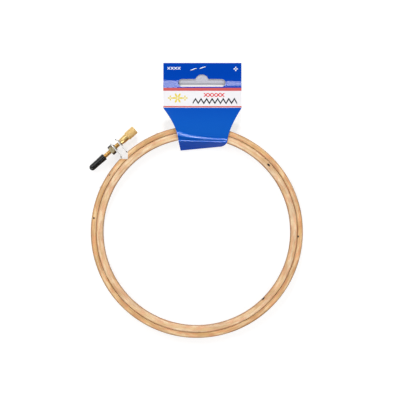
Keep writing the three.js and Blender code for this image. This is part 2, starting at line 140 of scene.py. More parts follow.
def square_board(name, width, place):
    """A flat square board, carried to its place."""
    bm = bmesh.new()
    bmesh.ops.create_grid(bm, x_segments=1, y_segments=1, size=width / 2, matrix=place)
    mesh = bpy.data.meshes.new(name)
    bm.to_mesh(mesh)
    bm.free()
    return add_object(name, mesh)


def studio_floor():
    material = bpy.data.materials.new("table_top")
    material.use_nodes = True
    tree = material.node_tree
    tree.nodes.clear()
    shown = seen_directly(tree)
    pale = node(tree, "MapRange", {"Value": shown, "To Min": FLOOR_PALE, "To Max": FLOOR_PALE_SEEN})
    matt = node(tree, "BsdfDiffuse", {"Color": pale.outputs[0]})
    lift = times(shown, FLOOR_LIFT)
    glow = node(tree, "Emission", {"Strength": lift})
    both = node(tree, "AddShader", {0: matt.outputs[0], 1: glow.outputs[0]})
    node(tree, "OutputMaterial", {"Surface": both.outputs[0]})
    table = square_board("table_top", FLOOR_SIZE, Matrix.Translation((0, 0, -FLOOR_DROP)))
    table.data.materials.append(material)


def studio_room():
    room = bpy.data.worlds.new("room")
    room.use_nodes = True
    tree = room.node_tree
    tree.nodes.clear()
    way = node(tree, "TexCoord").outputs["Generated"]
    height = part_of(way, "Z")
    wall = node(tree, "MapRange", {"Value": height, "From Min": WALL_TOP, "From Max": CEILING_FROM,
                                   "To Min": 1.0, "To Max": CEILING}).outputs[0]
    seen = calc("MAXIMUM", wall, node(tree, "LightPath").outputs["Is Camera Ray"])
    strength = node(tree, "MapRange", {"Value": seen_directly(tree), "To Min": ROOM_LIGHT,
                                       "To Max": seen})
    backdrop = node(tree, "Background", {"Strength": strength.outputs[0]})
    node(tree, "OutputWorld", {"Surface": backdrop.outputs[0]})
    bpy.context.scene.world = room


def black_flag(compass):
    """A black screen standing on the table, out of the camera's sight."""
    stood = Matrix.Translation((0, FLAG_DISTANCE, FLAG_HEIGHT / 2)) @ Matrix.Rotation(math.pi / 2, 4, "X")
    flag = square_board("black_flag", FLAG_HEIGHT, Matrix.Rotation(-math.radians(compass), 4, "Z") @ stood)
    felt = bpy.data.materials.new("black_felt")
    felt.use_nodes = True
    felt.node_tree.nodes["Principled BSDF"].inputs["Base Color"].default_value = (0.01, 0.01, 0.01, 1)
    flag.data.materials.append(felt)
    flag.visible_camera = False


def soft_box(name, compass, tilt, across, tall, watts):
    """A rectangular lamp that faces the hoop: compass from +Y clockwise, tilt from the zenith."""
    lamp = bpy.data.lights.new(name, "AREA")
    lamp.shape = "RECTANGLE"
    lamp.size = across
    lamp.size_y = tall
    lamp.energy = watts
    turn = math.radians(compass)
    lean = math.radians(tilt)
    way = Vector((math.sin(turn) * math.sin(lean), math.cos(turn) * math.sin(lean), math.cos(lean)))
    placed = bpy.data.objects.new(name, lamp)
    placed.location = way * LAMP_DISTANCE
    placed.rotation_euler = way.to_track_quat("Z", "Y").to_euler()
    bpy.context.scene.collection.objects.link(placed)


studio_floor()
studio_room()
black_flag(135)
black_flag(180)
soft_box("north_box", compass=0, tilt=52, across=0.22, tall=0.3, watts=7.3)
soft_box("west_box", compass=-45, tilt=34, across=0.75, tall=0.5, watts=4.1)
soft_box("east_box", compass=60, tilt=50, across=0.8, tall=0.6, watts=2.3)
soft_box("south_box", compass=182, tilt=36, across=0.44, tall=0.12, watts=6.6)

# Inner ring: a closed ring of steamed and bent beech, planed to a rounded rectangle and glued at
# a long scarf. Pale and slightly pink, waxed rather than varnished, with a few dark flecks.

RIM_ROUND = 1.2 * MM
INNER_MEETING_ROUND = 0.85 * MM
OUTER_MEETING_ROUND = 0.4 * MM
ROUND_STEPS = 5
RING_STEPS = 288
RING_WIDTH = 4.6 * MM
# How far the painted shade reaches in from each edge of a ring.
SHADED_EDGE = 1.1 * MM
SPLIT_ANGLE = math.radians(133.5)
SCARF_ANGLE = math.radians(96)

inner_radius_outside = (hoop_high.x - hoop_low.x) / 2
ring_half_height = (hoop_high.z - hoop_low.z) / 2


def ring_section(near, far, near_round, far_round):
    """The ring's section as one face in the XZ plane, its four corners rounded."""
    bm = bmesh.new()
    high = ring_half_height
    corners = [(near, -high), (far, -high), (far, high), (near, high)]
    verts = [bm.verts.new((x, 0, z)) for x, z in corners]
    bm.faces.new(verts)
    for picked, size in ((verts[1:3], far_round), ((verts[0], verts[3]), near_round)):
        bmesh.ops.bevel(bm, geom=list(picked), offset=size, offset_type="OFFSET", segments=ROUND_STEPS,
                        profile=0.5, affect="VERTICES", material=-1)
    return bm


def finish_piece(name, bm, sharp=32):
    """The bmesh as an object, smooth apart from its sharp edges, with all faces outwards."""
    bmesh.ops.remove_doubles(bm, verts=bm.verts, dist=1e-7)
    bmesh.ops.recalc_face_normals(bm, faces=bm.faces)
    mesh = bpy.data.meshes.new(name)
    bm.to_mesh(mesh)
    bm.free()
    mesh.shade_smooth()
    mesh.set_sharp_from_angle(angle=math.radians(sharp))
    return add_object(name, mesh)


def whole_ring(name, section):
    """Spins the section's outline once round the hoop's axis."""
    bmesh.ops.delete(section, geom=section.faces[:], context="FACES_ONLY")
    bmesh.ops.spin(section, geom=section.verts[:] + section.edges[:], cent=(0, 0, 0), axis=(0, 0, 1),
                   angle=2 * math.pi, steps=RING_STEPS, use_merge=True)
    bmesh.ops.translate(section, verts=section.verts, vec=hoop_middle)
    return finish_piece(name, section)


def new_finish(name, **constants):
    """A material and its node tree; the constants are set on the shader's sockets."""
    material = bpy.data.materials.new(name)
    material.use_nodes = True
    shader = material.node_tree.nodes["Principled BSDF"]
    for socket, value in constants.items():
        shader.inputs[socket.replace("_", " ")].default_value = value
    return material, material.node_tree


def finished(material, relief=None, **patterns):
    """Links patterns to the shader's sockets, and a relief given as (height, strength, depth)."""
    tree = material.node_tree
    if relief:
        height, strength, depth = relief
        bump = node(tree, "Bump", {"Height": height, "Strength": strength, "Distance": depth})
        patterns["Normal"] = bump.outputs[0]
    for socket, pattern in patterns.items():
        tree.links.new(pattern, tree.nodes["Principled BSDF"].inputs[socket.replace("_", " ")])
    return material


def linear(red, green, blue):
    """A colour given as it looks on a screen, 0 to 255, as the shader wants it."""
    def channel(value):
        share = value / 255
        return share / 12.92 if share <= 0.04045 else ((share + 0.055) / 1.055) ** 2.4
    return channel(red), channel(green), channel(blue), 1


def blend_colours(share, under, over):
    """The under colour, with the over colour laid on it by share."""
    return node(share.id_data, "Mix", {0: share, 6: under, 7: over}, data_type="RGBA").outputs[2]


def counted_from(tree, origin, turn):
    """Where a point is, counted from an origin and along axes that are turned with it."""
    spot = node(tree, "TexCoord").outputs["Object"]
    return node(tree, "Mapping", {"Vector": spot, "Location": origin, "Rotation": turn},
                vector_type="TEXTURE").outputs[0]


def along_the_ring(tree, seam, radius):
    """A place in the bent wood as (length along the ring from its seam, distance from the axis,
    height above the ring's middle)."""
    centred = counted_from(tree, hoop_middle, (0, 0, seam - math.pi))
    parts = node(tree, "SeparateXYZ", {0: centred}).outputs
    turn = calc("ARCTAN2", parts["Y"], parts["X"])
    level = node(tree, "CombineXYZ", {"X": parts["X"], "Y": parts["Y"]}).outputs[0]
    distance = node(tree, "VectorMath", {0: level}, operation="LENGTH").outputs["Value"]
    length = times(turn, radius)
    return node(tree, "CombineXYZ", {"X": length, "Y": distance, "Z": parts["Z"]}).outputs[0]


def streaks(place, along, across, high, detail=2.0, shift=0.0):
    """Noise drawn out along the grain: the typical size of a streak in millimetres."""
    sizes = (1 / (along * MM), 1 / (across * MM), 1 / (high * MM))
    tree = place.id_data
    stretched = node(tree, "Mapping", {
        "Vector": place, "Location": (shift, shift, shift), "Scale": sizes}).outputs[0]
    noise = node(tree, "TexNoise", {"Vector": stretched, "Scale": 1.0, "Detail": detail,
                                    "Roughness": 0.55})
    return noise.outputs[0]


def between(value, low, high, start=0.0, end=1.0):
    """The value carried from low..high to start..end, with soft ends."""
    return node(value.id_data, "MapRange", {"Value": value, "From Min": low, "From Max": high,
                                            "To Min": start, "To Max": end},
                interpolation_type="SMOOTHSTEP").outputs[0]


def fleck(place, seam, radius, angle, distance, long, wide):
    """1 inside a small dark fleck on the ring's top face and 0 outside it."""
    turn = (math.radians(angle) - seam) % (2 * math.pi) - math.pi
    middle = (turn * radius, distance * MM, ring_half_height)
    tree = place.id_data
    off = node(tree, "VectorMath", {0: place, 1: middle}, operation="SUBTRACT").outputs[0]
    size = (2 / (long * MM), 2 / (wide * MM), 0.5 / MM)
    share = node(tree, "VectorMath", {0: off, 1: size}, operation="MULTIPLY").outputs[0]
    far = node(tree, "VectorMath", {0: share}, operation="LENGTH").outputs["Value"]
    return between(far, 0.9, 1.25, 1.0, 0.0)


def bent_beech(name, pale, warm, rosy, brown, seam, near, far, edge_shade, flecks, shift):
    """Waxed beech: long soft bands, fine fibres, short darker rays, a few flecks, and painted shade along
    both edges, on the rounded rims and in the groove between the rings. Near and far are the ring's two
    radii; the pair after them sets how dark the painted shade is at each edge."""
    material, tree = new_finish(name, Roughness=0.55, Coat_Weight=0.12, Coat_Roughness=0.35)
    radius = max(near, inner_radius_outside)
    place = along_the_ring(tree, seam, radius)
    bands = between(streaks(place, 16, 1.6, 5, 2.5, shift), 0.38, 0.62)
    patches = between(streaks(place, 7, 1.3, 4, 2.0, shift + 7), 0.47, 0.6)
    clouds = between(streaks(place, 11, 5, 5, 1.5, shift + 13), 0.42, 0.62)
    fibres = streaks(place, 5, 0.16, 0.3, 4.0, shift + 3)
    dark_fibres = between(fibres, 0.42, 0.66)
    rays = between(streaks(place, 1.5, 0.13, 0.5, 1.5, shift + 5), 0.62, 0.72)
    marks = between(streaks(place, 0.5, 2.5, 1.2, 2.0, shift + 9), 0.55, 0.75)
    across = part_of(place, "Y")
    # Painted shade: the wood is darkened towards the rounded rims and the groove between the rings.
    edges = calc("MAXIMUM", between(across, near, near + SHADED_EDGE, edge_shade[0], 0.0),
                 between(across, far - SHADED_EDGE, far, 0.0, edge_shade[1]))
    spots = 0.0
    for angle, distance, long, wide in flecks:
        spots = calc("MAXIMUM", spots, fleck(place, seam, radius, angle, distance, long, wide))
    colour = blend_colours(bands, pale, warm)
    for pattern, strength, over in (
            (patches, 0.8, rosy), (clouds, 0.26, brown), (dark_fibres, 0.3, brown), (rays, 0.42, brown),
            (edges, 1.0, brown), (marks, 0.12, brown), (spots, 1.0, linear(34, 18, 10))):
        colour = blend_colours(times(pattern, strength), colour, over)
    height = minus(minus(fibres, times(rays, 0.4)), times(spots, 1.5))
    return finished(material, (height, 0.35, 0.05 * MM), Base_Color=colour,
                    Roughness=between(fibres, 0.3, 0.7, 0.5, 0.66))


# Each fleck: degrees round the ring, distance from the axis, length and width in millimetres.
INNER_FLECKS = (
    (43.0, 61.9, 2.2, 1.15),
    (-45.1, 59.4, 2.3, 0.9),
)
rim_radius = inner_radius_outside - RING_WIDTH
inner_hoop = whole_ring("inner_hoop", ring_section(
    rim_radius, inner_radius_outside, RIM_ROUND, INNER_MEETING_ROUND))
inner_hoop.data.materials.append(bent_beech(
    "inner_beech", pale=linear(247, 219, 180), warm=linear(228, 190, 138),
    rosy=linear(236, 180, 138), brown=linear(150, 98, 54), seam=SCARF_ANGLE, near=rim_radius,
    far=inner_radius_outside, edge_shade=(0.8, 0.3), flecks=INNER_FLECKS, shift=0.0))
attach(inner_hoop, "inner_ring")
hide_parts("inner_ring")

# Outer ring: a lighter bent strip of the same beech, cut through at the upper left. Its ends are
# cut to a V that opens outwards, and a saw kerf in each end takes a bracket's foot.

RING_FIT_GAP = 0.1 * MM
SPLIT_INSIDE = 0.5 * MM
SPLIT_LEAN = math.radians(45)
PLATE = 0.7 * MM
FOOT_INSET = 1.55 * MM
FOOT_WIDTH = 5.0 * MM
FOOT_TURN = math.radians(24.5)
KERF_SLACK = 0.12 * MM
KERF_PAST_FOOT = math.radians(0.5)

outer_low, outer_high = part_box("outer_ring")
outer_radius = (outer_high.x - outer_low.x) / 2
outer_radius_inside = inner_radius_outside + RING_FIT_GAP
foot_radius = outer_radius - FOOT_INSET
split_place = Matrix.Translation(hoop_middle) @ Matrix.Rotation(SPLIT_ANGLE - math.pi / 2, 4, "Z")


def settle(piece, sharp=32):
    """Makes the modifiers' result the piece's own mesh."""
    bpy.context.view_layer.update()
    seen = piece.evaluated_get(bpy.context.evaluated_depsgraph_get())
    shape = bpy.data.meshes.new_from_object(seen)
    old = piece.data
    piece.modifiers.clear()
    piece.data = shape
    shape.name = piece.name
    bpy.data.meshes.remove(old)
    shape.shade_smooth()
    shape.set_sharp_from_angle(angle=math.radians(sharp))


def cut_from(piece, tool, sharp=32):
    """Cuts the tool out of the piece and removes the tool."""
    cutter = piece.modifiers.new("cut", "BOOLEAN")
    cutter.operation = "DIFFERENCE"
    cutter.solver = "EXACT"
    cutter.object = tool
    settle(piece, sharp)
    bpy.data.objects.remove(tool)


def prism(corners, way):
    """A flat shape with these corners, drawn out along the way to a closed block."""
    bm = bmesh.new()
    face = bm.faces.new([bm.verts.new(corner) for corner in corners])
    grown = bmesh.ops.extrude_face_region(bm, geom=[face])["geom"]
    far = [part for part in grown if isinstance(part, bmesh.types.BMVert)]
    bmesh.ops.translate(bm, verts=far, vec=way)
    return bm


def split_wedge():
    """The V-shaped block that is sawn out at the split, in the split's own frame."""
    apex = outer_radius_inside - SPLIT_INSIDE / 2 / math.tan(SPLIT_LEAN)
    far = outer_radius + 3 * MM
    half = (far - apex) * math.tan(SPLIT_LEAN)
    low = -2 * ring_half_height
    bm = prism([(0, apex, low), (half, far, low), (-half, far, low)], (0, 0, -2 * low))
    bm.transform(split_place)
    return finish_piece("split_wedge", bm)


def kerf_blade(side):
    """The slot that a saw leaves in a ring's end for the bracket's foot."""
    half_thick = PLATE / 2 + KERF_SLACK
    half_wide = FOOT_WIDTH / 2 + KERF_SLACK
    bm = bmesh.new()
    corners = [(foot_radius - half_thick, -half_wide), (foot_radius + half_thick, -half_wide),
               (foot_radius + half_thick, half_wide), (foot_radius - half_thick, half_wide)]
    face = bm.faces.new([bm.verts.new((0, y, z)) for y, z in corners])
    bmesh.ops.spin(bm, geom=[face], cent=(0, 0, 0), axis=(0, 0, -side),
                   angle=FOOT_TURN + KERF_PAST_FOOT, steps=24)
    bmesh.ops.contextual_create(bm, geom=[edge for edge in bm.edges if edge.is_boundary])
    bm.transform(split_place)
    return finish_piece("kerf_blade", bm)


OUTER_FLECKS = (
    (-2.6, 64.0, 1.2, 1.0),
    (172.4, 65.5, 1.2, 1.0),
    (146.9, 65.6, 1.0, 0.5),
)
outer_hoop = whole_ring("outer_hoop", ring_section(
    outer_radius_inside, outer_radius, OUTER_MEETING_ROUND, RIM_ROUND))
cut_from(outer_hoop, split_wedge())
for side in (1, -1):
    cut_from(outer_hoop, kerf_blade(side))
outer_hoop.data.materials.clear()
outer_hoop.data.materials.append(bent_beech(
    "outer_beech", pale=linear(246, 211, 162), warm=linear(225, 180, 118),
    rosy=linear(236, 168, 118), brown=linear(140, 88, 42), seam=SPLIT_ANGLE,
    near=outer_radius_inside, far=outer_radius, edge_shade=(0.3, 0.6), flecks=OUTER_FLECKS, shift=20.0))
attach(outer_hoop, "outer_ring")
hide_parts("outer_ring")

# Brackets: two strips of sheet steel, blanked, pierced, bent and nickel plated. The foot of each
# is pushed into its ring end's kerf, and its ear stands out for the screw to pass through.

SCREW_STANDOFF = 7.35 * MM
SCREW_LEAN = math.radians(1.8)
EAR_WIDTH = 6.4 * MM
EAR_TIP = 3.6 * MM
EAR_BEND = 1.0 * MM
HEAD_EAR = 2.85 * MM
NUT_EAR = 1.45 * MM
NUT_JOG = 0.9 * MM
JOG_TOP = 1.4 * MM
JOG_END = -0.55 * MM
SCREW_HOLE = 1.6 * MM
NUT_HOLE = 2.1 * MM
BRAD_HOLE = 0.7 * MM
BRAD_TURN = math.radians(21.5)
PLATE_EDGE = 0.12 * MM
FOOT_CORNER = 0.9 * MM

screw_radius = outer_radius + SCREW_STANDOFF
screw_place = (split_place @ Matrix.Translation((0, screw_radius, 0))
               @ Matrix.Rotation(-SCREW_LEAN, 4, "Z"))


def arc(middle, radius, start, end, steps):
    """Points on a circle from one angle to another, in degrees."""
    turns = [math.radians(start + (end - start) * step / steps) for step in range(steps + 1)]
    return [(middle[0] + radius * math.cos(t), middle[1] + radius * math.sin(t)) for t in turns]


def join_up(bm, points, closed=True):
    """Adds a line of points, each joined to the next by an edge."""
    verts = [bm.verts.new(point) for point in points]
    for first, second in zip(verts, verts[1:] + (verts[:1] if closed else [])):
        bm.edges.new((first, second))


def circle(middle, radius, count):
    """Points evenly round a whole circle."""
    return arc(middle, radius, 0, 360 - 360 / count, count - 1)


def flat_pattern(outline, holes):
    """A flat sheet in the XY plane with holes in it."""
    bm = bmesh.new()
    for loop in (outline, *holes):
        join_up(bm, [(x, y, 0) for x, y in loop])
    bmesh.ops.triangle_fill(bm, use_beauty=True, edges=bm.edges[:])
    return bm


def scored(bm, places, across=False):
    """Cuts the sheet's faces along lines at the given places, so that it can be bent there."""
    way = (0, 1, 0) if across else (1, 0, 0)
    for place in places:
        parts = bm.verts[:] + bm.edges[:] + bm.faces[:]
        bmesh.ops.bisect_plane(bm, geom=parts, dist=1e-7, plane_no=way,
                               plane_co=[place * share for share in way])


def bracket_path(side):
    """The strip's middle from the ear's tip to the foot's end, in the split's own frame."""
    offset, jog = (HEAD_EAR, 0) if side > 0 else (NUT_EAR, NUT_JOG)
    bend_top = foot_radius + EAR_BEND

    def ear(y):
        fall = min(max((outer_radius + JOG_TOP - y) / (JOG_TOP - JOG_END), 0), 1)
        leaning = side * math.tan(SCREW_LEAN) * (max(y, outer_radius) - screw_radius)
        return offset + leaning + jog * fall, y

    tip = screw_radius + EAR_TIP
    low = outer_radius + JOG_TOP
    path = [ear(tip)] + [ear(low + (bend_top - low) * step / 10) for step in range(11)]
    middle = (path[-1][0] + EAR_BEND, bend_top)
    path += arc(middle, EAR_BEND, 180, 270, 8)[1:]
    start = math.asin(path[-1][0] / foot_radius)
    for step in range(1, 25):
        turn = start + (FOOT_TURN - start) * step / 24
        path.append((foot_radius * math.sin(turn), foot_radius * math.cos(turn)))
    return [Vector((side * x, y)) for x, y in path]


def lengths_along(path):
    lengths = [0.0]
    for before, after in zip(path, path[1:]):
        lengths.append(lengths[-1] + (after - before).length)
    return lengths


def place_along(path, lengths, length):
    """The point of a line of points at a length from its start."""
    step = max(i for i, far in enumerate(lengths[:-1]) if far <= length + 1e-9 or i == 0)
    share = (length - lengths[step]) / (lengths[step + 1] - lengths[step])
    return path[step].lerp(path[step + 1], share)


def bracket_blank(side, path, lengths):
    """The flat strip: a round-ended ear, a narrower foot, the screw's hole and the brad's."""
    ear, foot, corner = EAR_WIDTH / 2, FOOT_WIDTH / 2, FOOT_CORNER
    shoulder = screw_radius + EAR_TIP - outer_radius
    end = lengths[-1]
    brad = end - (FOOT_TURN - BRAD_TURN) * foot_radius
    outline = (arc((ear, 0), ear, 90, 270, 20) + [(shoulder - ear + foot, -ear), (shoulder, -foot)]
               + arc((end - corner, corner - foot), corner, -90, 0, 4)
               + arc((end - corner, foot - corner), corner, 0, 90, 4)
               + [(shoulder, foot), (shoulder - ear + foot, ear)])
    hole = SCREW_HOLE if side > 0 else NUT_HOLE
    return flat_pattern(outline, [circle((EAR_TIP, 0), hole, 32), circle((brad, 0), BRAD_HOLE, 24)])


def bracket(side, name, node_name):
    path = bracket_path(side)
    lengths = lengths_along(path)
    bm = bracket_blank(side, path, lengths)
    scored(bm, lengths[1:-1])
    for vert in bm.verts:
        x, y = place_along(path, lengths, vert.co.x)
        vert.co = (x, y, vert.co.y)
    bm.transform(split_place)
    piece = finish_piece(name, bm)
    sheet = piece.modifiers.new("sheet", "SOLIDIFY")
    sheet.thickness = PLATE
    sheet.offset = 0
    sheet.use_even_offset = True
    edge = piece.modifiers.new("edge", "BEVEL")
    edge.width = PLATE_EDGE
    edge.segments = 2
    edge.angle_limit = math.radians(50)
    settle(piece)
    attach(piece, "outer_ring")
    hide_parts(node_name)
    return piece


def dull_spots(tree, size, shift=0.0):
    """Soft cloudy marks of the given size in millimetres."""
    spot = node(tree, "TexCoord").outputs["Object"]
    scale = 1 / (size * MM)
    moved = node(tree, "Mapping", {"Vector": spot, "Location": (shift, shift, shift),
                                   "Scale": (scale, scale, scale)}).outputs[0]
    return node(tree, "TexNoise", {"Vector": moved, "Scale": 1.0, "Detail": 3.0}).outputs[0]


def mottled(patches, light, dark, low=0.35, high=0.7):
    """Two shades of a finish, the darker one in soft patches."""
    return blend_colours(between(patches, low, high), linear(*light), linear(*dark))


def nickel_plate():
    """A satin white plate with faint hazy patches, darker at the ears' sheared ends, and with
    painted shade where they enter the wood."""
    material, tree = new_finish("nickel_plate", Metallic=0.4, Roughness=0.34)
    haze = dull_spots(tree, 1.6)
    colour = mottled(haze, (246, 243, 240), (218, 215, 212), 0.4)
    at_split = counted_from(tree, split_place.translation, split_place.to_euler())
    out = part_of(at_split, "Y")
    tip = screw_radius + EAR_TIP
    # Darker at the ear's tip, and painted shade where the ear enters the wood.
    dark_tip_and_shade = calc("MAXIMUM", between(out, tip - 1.1 * MM, tip - 0.3 * MM),
                between(out, outer_radius + 0.2 * MM, outer_radius + 1.1 * MM, 1.0, 0.0))
    dark_tip_and_shade = times(dark_tip_and_shade, between(out, outer_radius - 0.1 * MM, outer_radius))
    return finished(material, Base_Color=blend_colours(dark_tip_and_shade, colour, linear(78, 76, 74)),
                    Roughness=between(haze, 0.3, 0.75, 0.28, 0.46))


nickel = nickel_plate()
head_bracket = bracket(1, "head_ear_bracket", "head_side_bracket")
nut_bracket = bracket(-1, "nut_ear_bracket", "nut_side_bracket")
for piece in (head_bracket, nut_bracket):
    piece.data.materials.clear()
    piece.data.materials.append(nickel)

# Brads: two small domed nails, cold headed from plated wire, driven through each ring end and
# the bracket's foot. Their heads sit just proud of the ring's outer face.

BRAD_HEAD = 1.15 * MM
BRAD_RISE = 0.55 * MM
BRAD_SHANK = 0.6 * MM
BRAD_DEPTH = 2.4 * MM
BRAD_SEAT = 0.06 * MM


def softened(points, steps=3):
    """A profile with its corners rounded: each point is (along, out, size of the rounding)."""
    line = []
    for i, (along, out, size) in enumerate(points):
        here = Vector((along, out))
        if size == 0:
            line.append(here)
            continue
        last, following = Vector(points[i - 1][:2]), Vector(points[(i + 1) % len(points)][:2])
        before = here.lerp(last, size / (last - here).length)
        after = here.lerp(following, size / (following - here).length)
        for step in range(steps + 1):
            share = step / steps
            line.append(before.lerp(here, share).lerp(here.lerp(after, share), share))
    return line


def turned(profile, steps=48, closed=False):
    """A solid turned about +X from points (along, out); a closed profile makes a ring."""
    bm = bmesh.new()
    join_up(bm, [(along, out, 0) for along, out in profile], closed)
    bmesh.ops.spin(bm, geom=bm.verts[:] + bm.edges[:], cent=(0, 0, 0), axis=(1, 0, 0),
                   angle=2 * math.pi, steps=steps, use_merge=True)
    return bm


def brad(side, name, node_name):
    base = outer_radius + BRAD_SEAT
    half = math.pi / 2
    dome = [(base + BRAD_RISE * math.sin(half * step / 7), BRAD_HEAD * math.cos(half * step / 7), 0)
            for step in range(8)]
    tip = outer_radius - BRAD_DEPTH
    shank = [(tip, 0, 0), (tip + BRAD_SHANK, BRAD_SHANK, 0), (base, BRAD_SHANK, 0),
             (base, BRAD_HEAD * 0.96, 0)]
    bm = turned(softened(shank + dome), 32)
    bm.transform(split_place @ Matrix.Rotation(math.pi / 2 - side * BRAD_TURN, 4, "Z"))
    piece = finish_piece(name, bm, 50)
    piece.data.materials.append(nickel)
    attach(piece, "outer_ring")
    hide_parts(node_name)


brad(1, "head_end_brad", "head_side_pin")
brad(-1, "nut_end_brad", "nut_side_pin")

# Nut: a hexagon with turned corners, its neck pushed through the ear's hole and rolled over on
# the inside, so that it can't turn. Steel with a dull yellowish plate.

NUT_FLATS = 5.5 * MM
NUT_SEAT = -1.83 * MM
NUT_FACE = -4.65 * MM
NUT_BORE = 1.56 * MM
NUT_NECK = 2.0 * MM
CLINCH_SEAT = -1.07 * MM
CLINCH_END = -0.42 * MM
CLINCH_RADIUS = 2.35 * MM
CORNER_CUT = 0.42 * MM


def lathe_piece(name, bm, sharp=32):
    """A piece turned about the screw's axis, brought to its place at the split."""
    bm.transform(screw_place)
    return finish_piece(name, bm, sharp)


def hexagon_bar():
    end = NUT_FACE - MM
    corners = [(end, y, z) for y, z in circle((0, 0), NUT_FLATS / math.sqrt(3), 6)]
    return lathe_piece("hexagon_bar", prism(corners, (NUT_SEAT + MM - end, 0, 0)))


def nut():
    corner = NUT_FLATS / math.sqrt(3) + 0.02 * MM
    face = NUT_FLATS / 2 - 0.1 * MM
    piece = lathe_piece("hex_nut", turned(softened([
        (NUT_FACE, NUT_BORE + 0.25 * MM, 0), (NUT_FACE, face, 0.06 * MM),
        (NUT_FACE + CORNER_CUT, corner, 0), (NUT_SEAT - CORNER_CUT, corner, 0),
        (NUT_SEAT, face, 0.06 * MM), (NUT_SEAT, NUT_NECK, 0.02 * MM), (CLINCH_SEAT, NUT_NECK, 0.02 * MM),
        (CLINCH_SEAT, CLINCH_RADIUS, 0.1 * MM), (CLINCH_END, CLINCH_RADIUS - 0.3 * MM, 0.15 * MM),
        (CLINCH_END, NUT_BORE, 0.1 * MM), (NUT_FACE + 0.25 * MM, NUT_BORE, 0),
    ]), 60, closed=True))
    cut_from(piece, nut_trim(), 25)
    return piece


def nut_trim():
    """What is milled off a round bar to leave the hexagon between the nut's two faces."""
    bm = turned([(NUT_FACE - MM / 2, NUT_FLATS), (NUT_FACE - MM / 2, 0), (NUT_SEAT, 0),
                 (NUT_SEAT, NUT_FLATS)], 12, closed=True)
    trim = lathe_piece("nut_trim", bm)
    cut_from(trim, hexagon_bar())
    return trim


def dull_plate():
    """Yellowish passivated steel, with its top painted lighter and its sides painted dark, as painted
    light and shade.
    """
    material, tree = new_finish("dull_plate", Metallic=0.35, Roughness=0.4)
    marks = dull_spots(tree, 1.1, 4)
    colour = mottled(marks, (200, 190, 150), (152, 134, 104))
    height = part_of(node(tree, "TexCoord").outputs["Object"], "Z")
    axis = screw_place.translation.z
    # Painted light and shade: the top facets keep the lit colour and the lower sides are painted dark.
    painted_lit_top = between(height, axis + 1.3 * MM, axis + 2.6 * MM)
    return finished(material, Base_Color=blend_colours(painted_lit_top, linear(48, 42, 36), colour),
                    Roughness=between(marks, 0.3, 0.7, 0.26, 0.44))


hex_nut = nut()
hex_nut.data.materials.clear()
hex_nut.data.materials.append(dull_plate())
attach(hex_nut, "outer_ring")
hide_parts("clinch_nut")

# Washer: a small turned ring of plated steel between the head-side ear and the screw's shoulder.
# It turns freely on the shank and travels with the screw.

WASHER_START = 3.3 * MM
WASHER_END = 3.88 * MM
WASHER_RADIUS = 2.4 * MM
WASHER_BORE = 1.58 * MM

washer = lathe_piece("plain_washer", turned(softened([
    (WASHER_START, WASHER_BORE, 0.06 * MM), (WASHER_START, WASHER_RADIUS, 0.12 * MM),
    (WASHER_END, WASHER_RADIUS, 0.12 * MM), (WASHER_END, WASHER_BORE, 0.06 * MM),
]), 56, closed=True))
steel, steel_tree = new_finish("bare_steel", Metallic=1.0, Roughness=0.32)
steel_colour = blend_colours(dull_spots(steel_tree, 0.8, 7), linear(206, 202, 198), linear(150, 146, 142))
washer.data.materials.append(finished(steel, Base_Color=steel_colour))
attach(washer, "head_washer")
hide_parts("head_washer")

# Thumb screw: turned from brass bar in one piece. A rolled M3 thread of 0.5 mm pitch, a smooth
# collar that widens to the head, and a head with a diamond knurl for the fingers.

THREAD_PITCH = 0.5 * MM
THREAD_CREST = 1.46 * MM
THREAD_ROOT = 1.2 * MM
THREAD_END = -20.3 * MM
THREAD_POINT = 0.5 * MM
THREAD_STEPS = 24
SHOULDER = 4.0 * MM
COLLAR_SEAT = 1.85 * MM
COLLAR_RADIUS = 2.25 * MM
HEAD_START = 9.4 * MM
HEAD_END = 16.25 * MM
HEAD_RADIUS = 2.76 * MM
HEAD_CHAMFER = 0.4 * MM
KNURL_DEPTH = 0.12 * MM
KNURL_COLUMNS = 48
KNURL_ROWS = 17


def threaded_shank():
    """One pitch of the thread's outline, wound along the shank and cut off flat at both ends."""
    crest, flank = 0.12 * THREAD_PITCH, 0.34 * THREAD_PITCH
    bm = bmesh.new()
    outline = [(0, THREAD_CREST), (crest, THREAD_CREST), (crest + flank, THREAD_ROOT),
               (THREAD_PITCH - flank, THREAD_ROOT), (THREAD_PITCH, THREAD_CREST)]
    start = THREAD_END - 2 * THREAD_PITCH
    join_up(bm, [(start + along, out, 0) for along, out in outline], closed=False)
    turns = math.ceil((SHOULDER - start) / THREAD_PITCH) + 1
    bmesh.ops.spin(bm, geom=bm.verts[:] + bm.edges[:], cent=(0, 0, 0), axis=(1, 0, 0),
                   angle=turns * 2 * math.pi, steps=turns * THREAD_STEPS,
                   dvec=(THREAD_PITCH / THREAD_STEPS, 0, 0))
    bmesh.ops.remove_doubles(bm, verts=bm.verts, dist=1e-6)
    for end, way in ((THREAD_END, -1), (SHOULDER + 0.3 * MM, 1)):
        parts = bm.verts[:] + bm.edges[:] + bm.faces[:]
        bmesh.ops.bisect_plane(bm, geom=parts, dist=1e-7, plane_co=(end, 0, 0),
                               plane_no=(way, 0, 0), clear_outer=True)
    for vert in bm.verts:
        limit = THREAD_CREST - THREAD_POINT + (vert.co.x - THREAD_END)
        out = vert.co.yz.length
        if out > limit:
            vert.co.yz = vert.co.yz * (limit / out)
    bmesh.ops.holes_fill(bm, edges=[edge for edge in bm.edges if edge.is_boundary], sides=0)
    return bm


